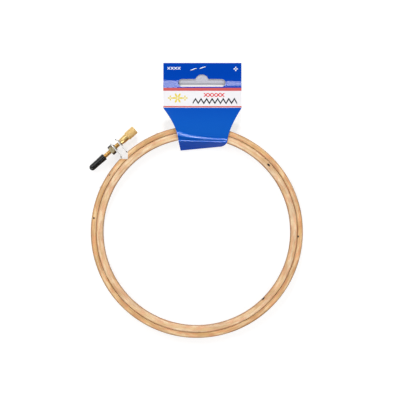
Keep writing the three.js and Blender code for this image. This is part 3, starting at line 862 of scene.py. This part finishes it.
def add_rings(bm, rings):
    """Skins circles of KNURL_COLUMNS points, each ring given as (along, even radius, odd radius).
    The faces are split so that every high point is the tip of a small pyramid."""
    rows = []
    for along, even, odd in rings:
        row = []
        for i in range(KNURL_COLUMNS):
            turn = 2 * math.pi * i / KNURL_COLUMNS
            out = odd if i % 2 else even
            row.append(bm.verts.new((along, out * math.cos(turn), out * math.sin(turn))))
        rows.append(row)
    for j, (near, far) in enumerate(zip(rows, rows[1:])):
        for i in range(KNURL_COLUMNS):
            k = (i + 1) % KNURL_COLUMNS
            a, b, c, d = near[i], near[k], far[k], far[i]
            if (i + j) % 2:
                bm.faces.new((a, b, c))
                bm.faces.new((a, c, d))
            else:
                bm.faces.new((a, b, d))
                bm.faces.new((b, c, d))
    return rows


def knurled_head():
    low = HEAD_RADIUS - KNURL_DEPTH
    rim = HEAD_RADIUS - HEAD_CHAMFER
    first, last = HEAD_START + HEAD_CHAMFER, HEAD_END - HEAD_CHAMFER
    rings = [(HEAD_START, rim, rim), (first - 0.12 * MM, low, low)]
    for row in range(KNURL_ROWS):
        along = first + (last - first) * row / (KNURL_ROWS - 1)
        high_even = len(rings) % 2 == 0
        rings.append((along, HEAD_RADIUS, low) if high_even else (along, low, HEAD_RADIUS))
    rings += [(last + 0.12 * MM, low, low), (HEAD_END - 0.05 * MM, rim, rim),
              (HEAD_END, rim - 0.1 * MM, rim - 0.1 * MM)]
    bm = bmesh.new()
    rows = add_rings(bm, rings)
    tips = [vert for vert in bm.verts if vert.co.yz.length > HEAD_RADIUS - 0.01 * MM]
    bm.faces.new(rows[0])
    bm.faces.new(rows[-1])
    bmesh.ops.bevel(bm, geom=tips, offset=0.07 * MM, offset_type="OFFSET", segments=1, profile=0.5,
                    affect="VERTICES", material=-1)
    return bm


def collar():
    return turned(softened([
        (SHOULDER, 0, 0), (SHOULDER, COLLAR_SEAT, 0.12 * MM),
        (SHOULDER + 1.9 * MM, COLLAR_RADIUS - 0.08 * MM, 0.8 * MM),
        (HEAD_START - 0.5 * MM, COLLAR_RADIUS, 0.3 * MM), (HEAD_START + 0.1 * MM, COLLAR_RADIUS, 0),
        (HEAD_START + 0.1 * MM, 0, 0),
    ], 5), 56)


def merged(*parts):
    """Several shapes as one bmesh, each of them closed."""
    whole = bmesh.new()
    for part in parts:
        part.normal_update()
        carrier = bpy.data.meshes.new("part")
        part.to_mesh(carrier)
        part.free()
        whole.from_mesh(carrier)
        bpy.data.meshes.remove(carrier)
    return whole


def turned_brass():
    """Bright brass with fine turning marks round the axis, and a duller sheen on the knurl."""
    material, tree = new_finish("turned_brass", Metallic=1.0, Roughness=0.25)
    on_axis = counted_from(tree, screw_place.translation, screw_place.to_euler())
    marks = streaks(on_axis, 0.07, 3, 3, 2.0)
    haze = dull_spots(tree, 1.4, 2)
    colour = mottled(haze, (230, 200, 140), (220, 182, 112), high=0.72)
    colour = blend_colours(between(marks, 0.4, 0.75, 0.0, 0.22), colour, linear(150, 112, 56))
    along = part_of(on_axis, "X")
    knurl = between(along, HEAD_START, HEAD_START + 0.5 * MM, 0.0, 0.34)
    rough = calc("ADD", between(marks, 0.3, 0.7, 0.28, 0.38), knurl)
    return finished(material, (marks, 0.25, 0.02 * MM), Base_Color=colour, Roughness=rough,
                    Metallic=minus(1.0, times(knurl, 1.6)))


screw = lathe_piece("brass_screw", merged(threaded_shank(), collar(), knurled_head()), 30)
screw.data.materials.append(turned_brass())
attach(screw, "thumb_screw")
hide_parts("thumb_screw")

# Cap: a soft vinyl sleeve, dipped over a former and pushed on to the thread's end so that it
# doesn't scratch. Black, closed and round at the tip, with a slightly belled mouth.

CAP_MOUTH = -9.5 * MM
CAP_BORE = 1.56 * MM
CAP_BORE_END = -20.45 * MM
CAP_TIP = -21.8 * MM
CAP_TIP_RADIUS = 2.04 * MM
CAP_LIP = 2.3 * MM
CAP_BELL = 6.5 * MM


def cap_outline():
    dome = arc((CAP_TIP + CAP_TIP_RADIUS, 0), CAP_TIP_RADIUS, 180, 90, 12)
    bell = []
    for step in range(1, 14):
        along = CAP_MOUTH - CAP_BELL * (1 - step / 13)
        share = (step / 13) ** 1.6
        bell.append((along, CAP_TIP_RADIUS + (CAP_LIP - CAP_TIP_RADIUS) * share, 0))
    bell[-1] = (CAP_MOUTH, CAP_LIP, 0.22 * MM)
    mouth = [(CAP_MOUTH, CAP_BORE, 0.2 * MM)]
    hollow = arc((CAP_BORE_END + CAP_BORE, 0), CAP_BORE, 90, 180, 6)
    return softened([(*point, 0) for point in dome] + bell + mouth + [(*point, 0) for point in hollow], 4)


def soft_vinyl():
    """Black dipped vinyl: faintly rippled skin with a soft shine and a little dust."""
    material, tree = new_finish("soft_vinyl", Roughness=0.28, Specular_IOR_Level=0.5)
    ripples = dull_spots(tree, 0.9, 8)
    dust = between(dull_spots(tree, 0.25, 3), 0.6, 0.8, 0.0, 0.2)
    return finished(material, (ripples, 0.3, 0.03 * MM),
                    Base_Color=blend_colours(dust, linear(3, 3, 4), linear(30, 30, 30)),
                    Roughness=between(ripples, 0.3, 0.7, 0.22, 0.32))


cap = lathe_piece("vinyl_cap", turned(cap_outline(), 56), 50)
cap.data.materials.append(soft_vinyl())
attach(cap, "screw_cap")
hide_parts("screw_cap")

# Hang card: one strip of coated card, printed outside, die cut, folded inside the hoop and laid
# round both rings. A thin plain core shows at its cut edges. Its front leaf bulges over the
# rings and drops steeply to the back leaf just below the staple.

CARD_THICK = 0.4 * MM
CARD_MIDDLE = 3.5 * MM
SHOULDER_RISE = 11.1 * MM
NECK_HALF = {-1: 15.2 * MM, 1: 15.8 * MM}
FLARE = {-1: 1.65, 1: 1.45}
FOLD_HALF = {-1: 13.8 * MM, 1: 10.6 * MM}
FOLD_DROP = 6.6 * MM
FOLD_SLOPE = 0.096
FOLD_ROUND = 1.0 * MM
CARD_GAP = 0.12 * MM
CREASE_Y = 56.95 * MM
CREASE_SLANT = 0.03
CREASE_PAST_RIM = 0.3 * MM
CREASE_BEND = 0.6 * MM
CREASE_WIDTH = 0.8 * MM
SHINE_SLOPE = 0.356
RIDGE_Y = 58.35 * MM
RIDGE_SWEEP = 3.85 * MM
SWEEP_POWER = 2.4
RIDGE_RISE = 0.9 * MM
RIDGE_SWELL = 1.75 * MM
RIDGE_WIDTH = 0.6 * MM
RIDGE_SPREAD = 1.7 * MM
RIDGE_ROUND = 0.8 * MM
STAPLED_FROM = 98.6 * MM
BACK_RISE_FROM = 88.7 * MM
BACK_HIGH = 0.85 * MM
FRONT_LOW = 1.4 * MM
STEEP_FROM = 90.2 * MM
STEEP_TO = 98.2 * MM
STEEP_DROP = 1.7 * MM
LOOP_TOP = 66.0 * MM
LOOP_HALF = 18.0 * MM
SLOT_WIDTH = 29.8 * MM
SLOT_HEIGHT = 4.9 * MM
SLOT_DROP = 12.7 * MM
SLOT_SHIFT = -0.3 * MM
# The back slot lies lower so that the back leaf's inside shows through the front slot as painted shade.
BACK_SLOT_SHADE_DROP = 3.6 * MM
HUMP_WIDTH = 8.2 * MM
HUMP_HEIGHT = 3.0 * MM
STAPLE_WIDTH = 9.7 * MM
STAPLE_DROP = 3.5 * MM
STAPLE_SHIFT = -2.75 * MM
STAPLE_TILT = math.radians(13)
STAPLE_WIRE = 0.5 * MM
LEG_HOLE = 0.34 * MM
PRINT_UNIT = 100 * MM
WHITE_BAND = (78.3, 89.0)
RED_BAND = (89.0, 90.9)
RED_RULE = (78.5, 79.3)

card_low, card_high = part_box("hang_card")
card_top = card_high.y - hoop_middle.y
card_half = (card_high.x - card_low.x) / 2
ring_top = hoop_high.z
neck_y = rim_radius - RIM_ROUND
fold_y = rim_radius - FOLD_DROP
staple_middle = Vector((CARD_MIDDLE + STAPLE_SHIFT, card_top - STAPLE_DROP))


def soft_step(value, low, high):
    share = min(max((value - low) / (high - low), 0), 1)
    return share * share * (3 - 2 * share)


def ramp(value, low, high, ease=0.25):
    """0 to 1 between two places: straight, with an easy start and end."""
    share = min(max((value - low) / (high - low), 0), 1)
    late = min(share, 1 - share)
    risen = late * late / (2 * ease) if late < ease else late - ease / 2
    risen = risen / (1 - ease)
    return risen if share < 0.5 else 1 - risen


def half_width(side, y):
    """How far the strip reaches to one side of its middle, at a distance up the card."""
    neck = NECK_HALF[side]
    if y >= neck_y:
        rise = min((y - neck_y) / (outer_radius + SHOULDER_RISE - neck_y), 1)
        return neck + (card_half - neck) * rise ** FLARE[side]
    end = fold_y + FOLD_SLOPE * (CARD_MIDDLE + side * FOLD_HALF[side]) + CARD_THICK / 2
    drop = min((neck_y - y) / (neck_y - end), 1)
    if side < 0:
        return neck + (FOLD_HALF[side] - neck) * drop
    return FOLD_HALF[side] + (neck - FOLD_HALF[side]) * math.sqrt(1 - drop * drop)


def back_height(y):
    low = CARD_THICK / 2
    return low + (BACK_HIGH - low) * soft_step(y, BACK_RISE_FROM, STAPLED_FROM)


def crease(x):
    """Where the front leaf bends over the rings' rim: (y, z). It runs straight across the card,
    apart from the right, where it keeps to the rim."""
    rim = math.sqrt(rim_radius ** 2 - x ** 2)
    y = min(CREASE_Y - CREASE_SLANT * x, rim + CREASE_PAST_RIM)
    return Vector((y, ring_top + CARD_GAP + CARD_THICK / 2))


def buckle(x):
    """The climb from the crease to the ridge as stretches of (width, slope), and the ridge's top
    as (y, z). The ridge is higher, broader and further out at the left."""
    left = max((CARD_MIDDLE + NECK_HALF[1] - x) / (NECK_HALF[-1] + NECK_HALF[1]), 0)
    start = crease(x)
    facet = RIDGE_WIDTH + RIDGE_SPREAD * left ** 2
    bank = RIDGE_Y + RIDGE_SWEEP * left ** SWEEP_POWER - facet / 2 - start.x - CREASE_WIDTH
    rise = RIDGE_RISE + RIDGE_SWELL * left
    steep = (rise - SHINE_SLOPE * (CREASE_WIDTH + facet + RIDGE_ROUND / 2)) / bank
    top = start + Vector((CREASE_WIDTH + bank + facet + RIDGE_ROUND, rise))
    return ((CREASE_WIDTH, SHINE_SLOPE), (bank, steep), (facet, SHINE_SLOPE)), top


def front_height(x, y):
    """The middle of the front leaf: up from the crease to the ridge's round top, then a slow fall,
    and a steep one just below the staple."""
    stretches, top = buckle(x)
    if y >= top.x:
        gentle = top.y - FRONT_LOW - STEEP_DROP
        return (top.y - gentle * ramp(y, top.x, STAPLED_FROM)
                - STEEP_DROP * soft_step(y, STEEP_FROM, STEEP_TO))
    short = top.x - y
    if short < RIDGE_ROUND:
        return top.y - SHINE_SLOPE * short * short / (2 * RIDGE_ROUND)
    start = crease(x)
    height = start.y
    rest = y - start.x
    for width, slope in stretches:
        step = min(rest, width)
        height += slope * step
        rest -= step
    return height


def loop_line(across, side):
    """The strip's middle from the back leaf round the fold and over the rings' inner rim."""
    x = CARD_MIDDLE + across * NECK_HALF[side]
    rim = math.sqrt(rim_radius ** 2 - x ** 2)
    fold_x = CARD_MIDDLE + across * FOLD_HALF[side]
    radius = FOLD_ROUND
    limit = rim - CARD_GAP - CARD_THICK - radius
    fold = Vector((min(fold_y + FOLD_SLOPE * fold_x, limit) + CARD_THICK / 2 + radius,
                   CARD_THICK / 2 + radius))
    start = crease(x)
    lean = math.atan(SHINE_SLOPE)
    bend = start + CREASE_BEND * Vector((math.sin(lean), -math.cos(lean)))
    way = bend - fold
    rise = math.degrees(math.atan2(way.y, way.x)
                        + math.asin((CREASE_BEND - radius) / way.length))
    line = [(LOOP_TOP + (fold.x - LOOP_TOP) * step / 12, CARD_THICK / 2) for step in range(12)]
    line += arc(fold, radius, -90, rise - 270, 24)
    line += arc(bend, CREASE_BEND, rise + 90, 90 + math.degrees(lean), 12)
    for step in range(1, 61):
        y = start.x + (LOOP_TOP - start.x) * step / 60
        line.append((y, front_height(x, y)))
    points = [Vector(point) for point in line]
    return points, lengths_along(points)


def card_place(across, along, loops):
    """Where a point of the flat strip comes to lie: across is -1 to 1 and along runs from the
    back leaf's top edge (negative) to the front leaf's (positive)."""
    side = -1 if across < 0 else 1
    if abs(along) > LOOP_HALF:
        y = LOOP_TOP + abs(along) - LOOP_HALF
        x = CARD_MIDDLE + across * half_width(side, y)
        neck_x = CARD_MIDDLE + across * NECK_HALF[side]
        z = front_height(neck_x, y) if along > 0 else back_height(y)
        return x, y, z
    key = round(across, 5)
    if key not in loops:
        loops[key] = loop_line(across, side)
    points, lengths = loops[key]
    share = (along + LOOP_HALF) / (2 * LOOP_HALF)
    y, z = place_along(points, lengths, share * lengths[-1])
    return CARD_MIDDLE + across * half_width(side, y), y, z


def slot_outline(drop=0.0, humped=True):
    """The hang slot, as points (right of the card's middle, up from the rings')."""
    low = card_top - SLOT_DROP - drop - SLOT_HEIGHT / 2
    end, half = SLOT_HEIGHT / 2, SLOT_WIDTH / 2
    radius = ((HUMP_WIDTH / 2) ** 2 + HUMP_HEIGHT ** 2) / (2 * HUMP_HEIGHT)
    middle = low + SLOT_HEIGHT + HUMP_HEIGHT - radius
    start = math.degrees(math.asin((radius - HUMP_HEIGHT) / radius))
    hump = arc((0, middle), radius, start, 180 - start, 20) if humped else []
    outline = (arc((half - end, low + end), end, -90, 90, 20) + hump
               + arc((end - half, low + end), end, 90, 270, 20))
    return [(x + SLOT_SHIFT, y) for x, y in outline]


def leg_holes():
    turn = Vector((math.cos(STAPLE_TILT), math.sin(STAPLE_TILT)))
    places = [staple_middle + turn * side * (STAPLE_WIDTH - STAPLE_WIRE) / 2 for side in (-1, 1)]
    return [circle((place.x - CARD_MIDDLE, place.y), LEG_HOLE, 12) for place in places]


def card_blank():
    """The flat strip as (across, along): both leaves with their slots and staple holes. The back
    slot is plain and lies lower, so the back leaf's grey inside shows in the front slot as painted shade."""
    end = card_top - LOOP_TOP + LOOP_HALF
    flat = []
    for face, slot in ((1, slot_outline()), (-1, slot_outline(BACK_SLOT_SHADE_DROP, humped=False))):
        for outline in (slot, *leg_holes()):
            flat.append([(x / card_half, face * (y - LOOP_TOP + LOOP_HALF)) for x, y in outline])
    bm = flat_pattern([(-1, -end), (1, -end), (1, end), (-1, end)], flat)
    scored(bm, [step / 14 for step in range(-13, 14)])
    steps = int(LOOP_HALF / (0.25 * MM))
    rows = [LOOP_HALF * step / steps for step in range(-steps, steps + 1)]
    leaf = int((end - LOOP_HALF) / (1.0 * MM))
    for step in range(1, leaf):
        far = LOOP_HALF + (end - LOOP_HALF) * step / leaf
        rows += [far, -far]
    scored(bm, rows, across=True)
    return bm


def folded_card():
    bm = card_blank()
    layer = bm.loops.layers.uv.new("print")
    loops = {}
    for vert in bm.verts:
        along = vert.co.y
        place = Vector(card_place(vert.co.x, along, loops))
        vert.co = (place.x, place.y, along)
        for loop in vert.link_loops:
            loop[layer].uv = ((place.x - CARD_MIDDLE) / PRINT_UNIT, place.y / PRINT_UNIT)
        vert.co.z = place.z
        vert.select = along < 0
    for face in bm.faces:
        if all(vert.select for vert in face.verts):
            for loop in face.loops:
                loop[layer].uv.y = -loop[layer].uv.y
    bmesh.ops.translate(bm, verts=bm.verts, vec=(hoop_middle.x, hoop_middle.y, 0))
    piece = finish_piece("hang_tag", bm, 180)
    top = max(piece.data.polygons, key=lambda face: face.center.z)
    if top.normal.z < 0:
        piece.data.flip_normals()
    return piece


def thicken(piece):
    """Gives the strip its thickness: printed outside, plain inside, and raw at the cut edges."""
    board = piece.modifiers.new("board", "SOLIDIFY")
    board.thickness = CARD_THICK
    board.offset = 0
    board.material_offset = 1
    board.material_offset_rim = 2
    settle(piece, 60)


def lined(distance, half, soft=0.06):
    """1 within half a line's width of where the distance is nought; millimetres."""
    off = calc("ABSOLUTE", distance)
    return between(off, half - soft, half + soft, 1.0, 0.0)


def stretch_of(value, low, high, soft=0.08):
    """1 between two places and 0 beyond them; millimetres."""
    rise = between(value, low - soft, low + soft)
    return times(rise, between(value, high - soft, high + soft, 1.0, 0.0))


def cross_row(x, y, start, pitch, count, middle, reach, half):
    """A row of cross stitches: two crossing strokes in each square."""
    inside = stretch_of(x, start, start + pitch * count, 0.01)
    cell = calc("PINGPONG", minus(x, start), pitch / 2)
    cell = minus(pitch / 2, cell)
    level = calc("ABSOLUTE", minus(y, middle))
    stroke = lined(minus(cell, level), half)
    near = between(level, reach - 0.05, reach + 0.05, 1.0, 0.0)
    return times(stroke, near, inside)


def zigzag(x, y, start, end, middle, pitch, height, half):
    """A row of slanting stitches, up and down in turn."""
    wave = calc("PINGPONG", minus(x, start), pitch)
    wave = times(minus(wave, pitch / 2), height / pitch)
    stroke = lined(minus(minus(y, middle), wave), half)
    return times(stroke, stretch_of(x, start, end))


def daisy(x, y, middle, radius, petals, knot):
    """A lazy daisy: petals round a small knot."""
    dx = minus(x, middle[0])
    dy = minus(y, middle[1])
    far = calc("SQRT", calc("MULTIPLY_ADD", dx, dx, times(dy, dy)))
    turn = times(calc("ARCTAN2", dy, dx), petals / 2)
    loop = times(calc("ABSOLUTE", calc("COSINE", turn)), radius)
    petal = between(minus(far, loop), -0.12, 0.12, 1.0, 0.0)
    return times(petal, between(far, knot, knot + 0.2))


def any_of(*shares):
    total = shares[0]
    for share in shares[1:]:
        total = calc("MAXIMUM", total, share)
    return total


def painted_crease_and_ridge_highlight(x, y):
    """1 along the crease and the ridge, where a paler blue is painted as a painted highlight; millimetres.
    """
    crease_line = calc("MULTIPLY_ADD", x, -CREASE_SLANT, CREASE_Y / MM + CREASE_WIDTH / MM / 2)
    on_crease = lined(minus(y, crease_line), 0.35, 0.3)
    neck = (NECK_HALF[-1] + NECK_HALF[1]) / MM
    left = calc("MULTIPLY_ADD", x, -1 / neck, NECK_HALF[1] / MM / neck, clamp=True)
    sweep = times(calc("POWER", left, SWEEP_POWER), RIDGE_SWEEP / MM)
    spread = times(left, left, RIDGE_SPREAD / MM / 2)
    off = calc("ABSOLUTE", minus(y, calc("ADD", sweep, RIDGE_Y / MM)))
    on_ridge = between(minus(off, spread), 0.3, 0.9, 1.0, 0.0)
    return any_of(on_crease, on_ridge)


def printed_side():
    """Blue with a red band and a white band ruled in red, and rows of stitches drawn on both.
    Places are in millimetres from the card's middle line and up from the hoop's middle."""
    material, tree = new_finish("glossy_print", Roughness=0.6, Specular_IOR_Level=0.0,
                                Coat_Weight=0.2, Coat_Roughness=0.1, Coat_IOR=1.5)
    spot = node(tree, "SeparateXYZ", {0: node(tree, "UVMap", uv_map="print").outputs[0]}).outputs
    x = times(spot["X"], PRINT_UNIT / MM)
    signed = times(spot["Y"], PRINT_UNIT / MM)
    y = calc("ABSOLUTE", signed)
    front = calc("GREATER_THAN", signed, 0.0)
    # The blue gets darker further up the card, and is painted darker below the crease as painted shade on
    # the slope to the fold.
    blue = blend_colours(between(y, 62.0, 96.0), linear(16, 88, 186), linear(0, 64, 172))
    blue = blend_colours(between(y, 54.0, 62.0, 0.7, 0.0), blue, linear(0, 56, 172))
    # A paler blue painted along the crease and the ridge, as a painted highlight.
    pale = times(painted_crease_and_ridge_highlight(x, y), front, 0.6)
    blue = blend_colours(pale, blue, linear(20, 116, 240))
    colour = blend_colours(stretch_of(y, *WHITE_BAND), blue, linear(230, 229, 232))
    red_bands = any_of(stretch_of(y, *RED_BAND), stretch_of(y, *RED_RULE))
    colour = blend_colours(red_bands, colour, linear(200, 90, 90))
    red_row = cross_row(x, y, start=0.9, pitch=2.6, count=5, middle=86.4, reach=1.25, half=0.42)
    ink_row = zigzag(x, y, start=-6.1, end=21.9, middle=82.5, pitch=1.75, height=2.8, half=0.72)
    gold = any_of(daisy(x, y, (-15.6, 84.4), radius=3.3, petals=6, knot=0.3),
                  daisy(x, y, (-20.2, 84.4), radius=1.7, petals=4, knot=0.26),
                  daisy(x, y, (-11.0, 84.4), radius=1.7, petals=4, knot=0.26))
    small_row = cross_row(x, y, start=-22.3, pitch=2.15, count=4, middle=103.4, reach=0.8, half=0.3)
    white_row = any_of(small_row, daisy(x, y, (21.1, 103.0), radius=1.4, petals=4, knot=0.3))
    for share, ink in ((red_row, linear(214, 58, 62)), (ink_row, linear(46, 48, 54)),
                       (gold, linear(222, 202, 84)), (white_row, linear(236, 238, 244))):
        colour = blend_colours(times(share, front), colour, ink)
    ripple = node(tree, "Bump", {"Height": dull_spots(tree, 3.5, 11), "Strength": 0.05,
                                 "Distance": 0.2 * MM})
    return finished(material, Base_Color=colour, Coat_Normal=ripple.outputs[0])


def plain_card(name, light, dark, size):
    """Uncoated card stock with a faint fibre."""
    material, tree = new_finish(name, Roughness=0.8)
    return finished(material, Base_Color=mottled(dull_spots(tree, size, 6), light, dark))


hang_tag = folded_card()
for finish in (printed_side(),
               # The card's inside is painted a mid grey, as painted shade where it shows through the slot.
               plain_card("card_inside", light=(194, 194, 204), dark=(178, 178, 189), size=0.7),
               plain_card("cut_edge", light=(244, 244, 244), dark=(228, 227, 224), size=0.3)):
    hang_tag.data.materials.append(finish)
thicken(hang_tag)
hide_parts("hang_card")
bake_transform(hang_tag)

# Staple: drawn galvanised wire, slightly flattened. Its crown is behind the card, and its legs
# come through both leaves and are bent inwards over the front one.

LEG_REACH = 3.45 * MM
LEG_SWING = 0.28 * MM
STAPLE_BEND = 0.45 * MM
WIRE_FLAT = 0.82
WIRE_SIDES = 12
LEG_SPRING = 0.12 * MM
CHISEL_CUT = 1.2


def wire_path():
    """The wire's middle in its own plane: (along the crown, height above the table)."""
    half = (STAPLE_WIDTH - STAPLE_WIRE) / 2
    low = STAPLE_WIRE / 2 * WIRE_FLAT
    high = FRONT_LOW + CARD_THICK / 2 + STAPLE_WIRE / 2 * WIRE_FLAT + 0.02 * MM
    bend = STAPLE_BEND
    right = (arc((half - bend, low + bend), bend, -90, 0, 8)
             + arc((half - bend, high - bend), bend, 0, 90, 8)
             + [(half - LEG_REACH, high + LEG_SPRING)])
    left = [(-x, z) for x, z in reversed(right)]
    return [Vector(point) for point in left + right]


def drawn_wire(path):
    """An oval wire along a line in the XZ plane, its two ends cut to a chisel."""
    bm = bmesh.new()
    rings = []
    for i, point in enumerate(path):
        way = (path[min(i + 1, len(path) - 1)] - path[max(i - 1, 0)]).normalized()
        aside = {0: LEG_SWING, len(path) - 1: -LEG_SWING}.get(i, 0)
        ring = []
        for step in range(WIRE_SIDES):
            turn = 2 * math.pi * step / WIRE_SIDES
            wide = STAPLE_WIRE / 2 * math.cos(turn)
            deep = STAPLE_WIRE / 2 * WIRE_FLAT * math.sin(turn)
            lead = 0
            if i in (0, len(path) - 1):
                lead = (deep if i else -deep) * CHISEL_CUT
            at = point + Vector((-way.y, way.x)) * deep + way * lead
            ring.append(bm.verts.new((at.x, wide + aside, at.y)))
        rings.append(ring)
    for near, far in zip(rings, rings[1:]):
        for step in range(WIRE_SIDES):
            after = (step + 1) % WIRE_SIDES
            bm.faces.new((near[step], near[after], far[after], far[step]))
    bm.faces.new(rings[0])
    bm.faces.new(rings[-1])
    return bm


wire = drawn_wire(wire_path())
wire.transform(Matrix.Translation((hoop_middle.x + staple_middle.x, hoop_middle.y + staple_middle.y, 0))
               @ Matrix.Rotation(STAPLE_TILT, 4, "Z"))
wire_staple = finish_piece("wire_staple", wire, 50)
zinc, zinc_tree = new_finish("bright_zinc", Metallic=0.5, Roughness=0.45)
zinc_colour = mottled(dull_spots(zinc_tree, 0.6, 1), (246, 248, 252), (222, 226, 236))
wire_staple.data.materials.append(finished(zinc, Base_Color=zinc_colour))
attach(wire_staple, "outer_ring")
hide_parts("staple")
